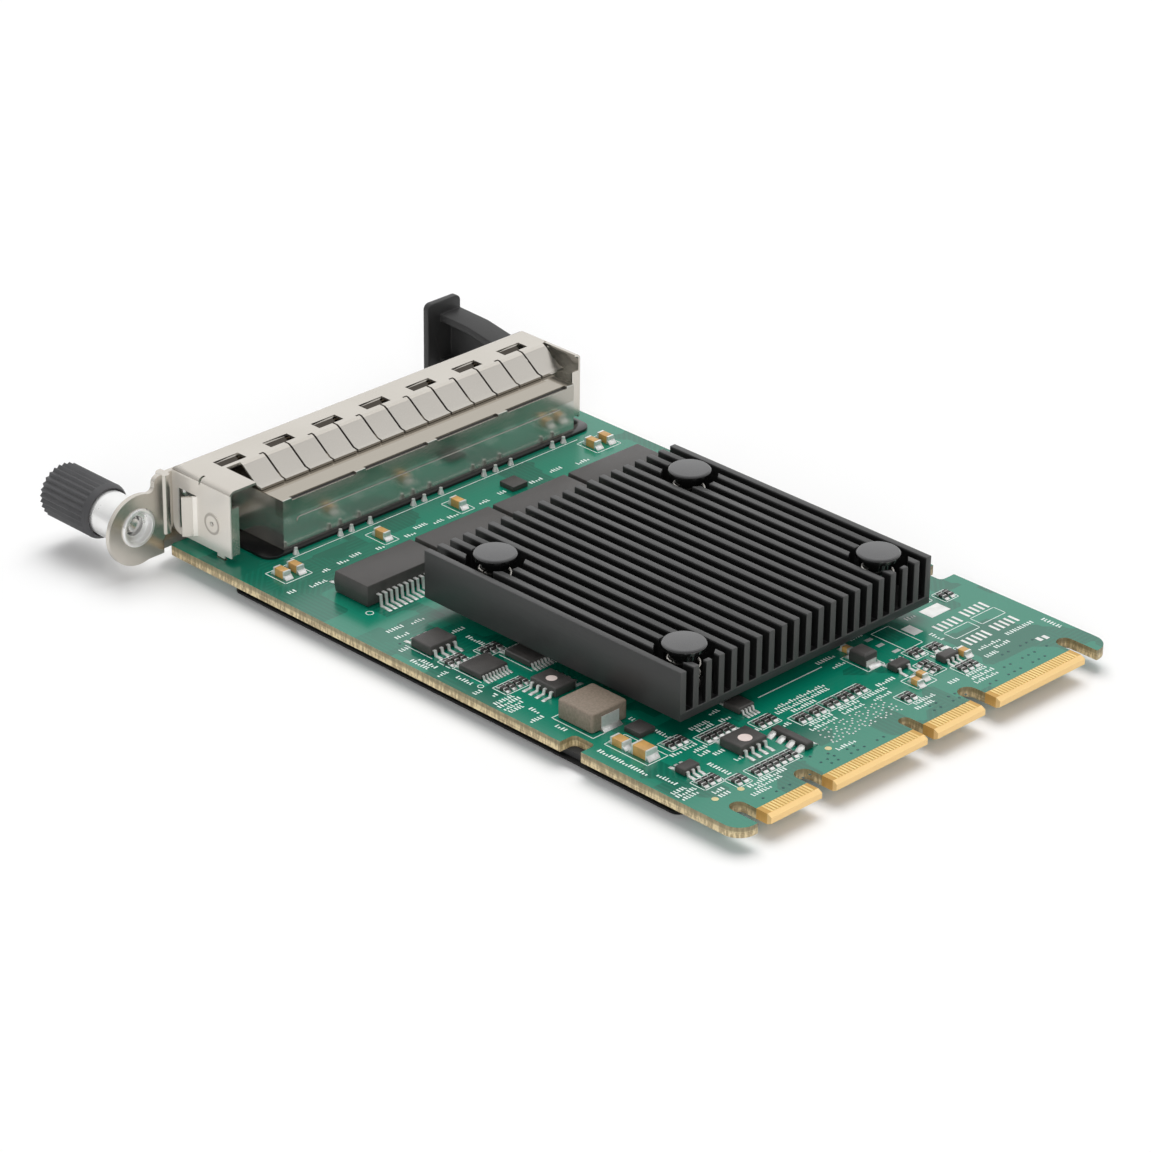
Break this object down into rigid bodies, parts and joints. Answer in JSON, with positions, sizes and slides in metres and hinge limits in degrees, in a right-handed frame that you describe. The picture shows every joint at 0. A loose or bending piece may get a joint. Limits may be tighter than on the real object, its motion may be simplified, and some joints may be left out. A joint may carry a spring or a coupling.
{
  "type": "mezzanine network card",
  "caption": "Flat plug-in network card: edge connector at one end, folded metal faceplate with network ports, pull tab and captive thumbscrew at the other, finned heatsink on top.",
  "frame": {"origin": "middle of the connector tongue's leading edge, at half the board's thickness", "axes": "+Y the way the card plugs in, +Z out of the component side, +X towards the thumbscrew"},
  "size_m": [0.0869, 0.1346, 0.0152],
  "materials": {
    "board_green": "glossy",
    "gold": "polished",
    "nickel": "polished",
    "tin": "satin",
    "steel": "satin",
    "aluminium": "satin",
    "black_plastic": "matte",
    "jack_plastic": "glossy",
    "knob_plastic": "matte",
    "sink_black": "satin",
    "chip_black": "matte",
    "inductor_grey": "matte",
    "capacitor_tan": "satin",
    "resistor_grey": "satin",
    "pad_grey": "matte",
    "strip_foam": "matte",
    "led_clear": "glossy"
  },
  "bodies": {
    "card": {"circuit_board": "board_green", "edge_contacts": "gold", "faceplate": "nickel", "emi_hood": "nickel", "jack_housing": "jack_plastic", "jack_shield": "nickel", "jack_wires": "gold", "jack_leds": "led_clear", "jack_tails": "tin", "pull_tab": "black_plastic", "pull_tab_screws": "steel", "bracket_rivets": "steel", "screw_sleeve": "aluminium", "screw_spring": "steel", "heatsink": "sink_black", "controller_chip": "chip_black", "thermal_pad": "pad_grey", "push_pins": "black_plastic", "push_pin_springs": "steel", "bottom_insulator": "black_plastic", "insulator_strips": "strip_foam", "magnetics": "chip_black", "magnetics_leads": "tin", "logic_chips": "chip_black", "logic_chip_leads": "tin", "power_inductor": "inductor_grey", "inductor_terminals": "tin", "power_diode": "chip_black", "diode_straps": "tin", "ceramic_capacitors": "capacitor_tan", "capacitor_ends": "tin", "chip_resistors": "resistor_grey"},
    "washer": {"spring_washer": "steel"},
    "screw": {"captive_screw": "steel", "thumbscrew_knob": "knob_plastic"}
  },
  "joints": [
    {"name": "screw_push", "type": "slide", "parent": "card", "child": "washer", "axis": [0, 1, 0], "range_m": [0, 0.0035], "stiffness_N_per_m": 300, "springref_m": -0.002, "deforming": ["screw_spring"]},
    {"name": "knob_turn", "type": "hinge", "parent": "washer", "child": "screw", "pos_m": [0.0431, -0.1265, 0.00498], "axis": [0, 1, 0], "continuous": true}
  ]
}
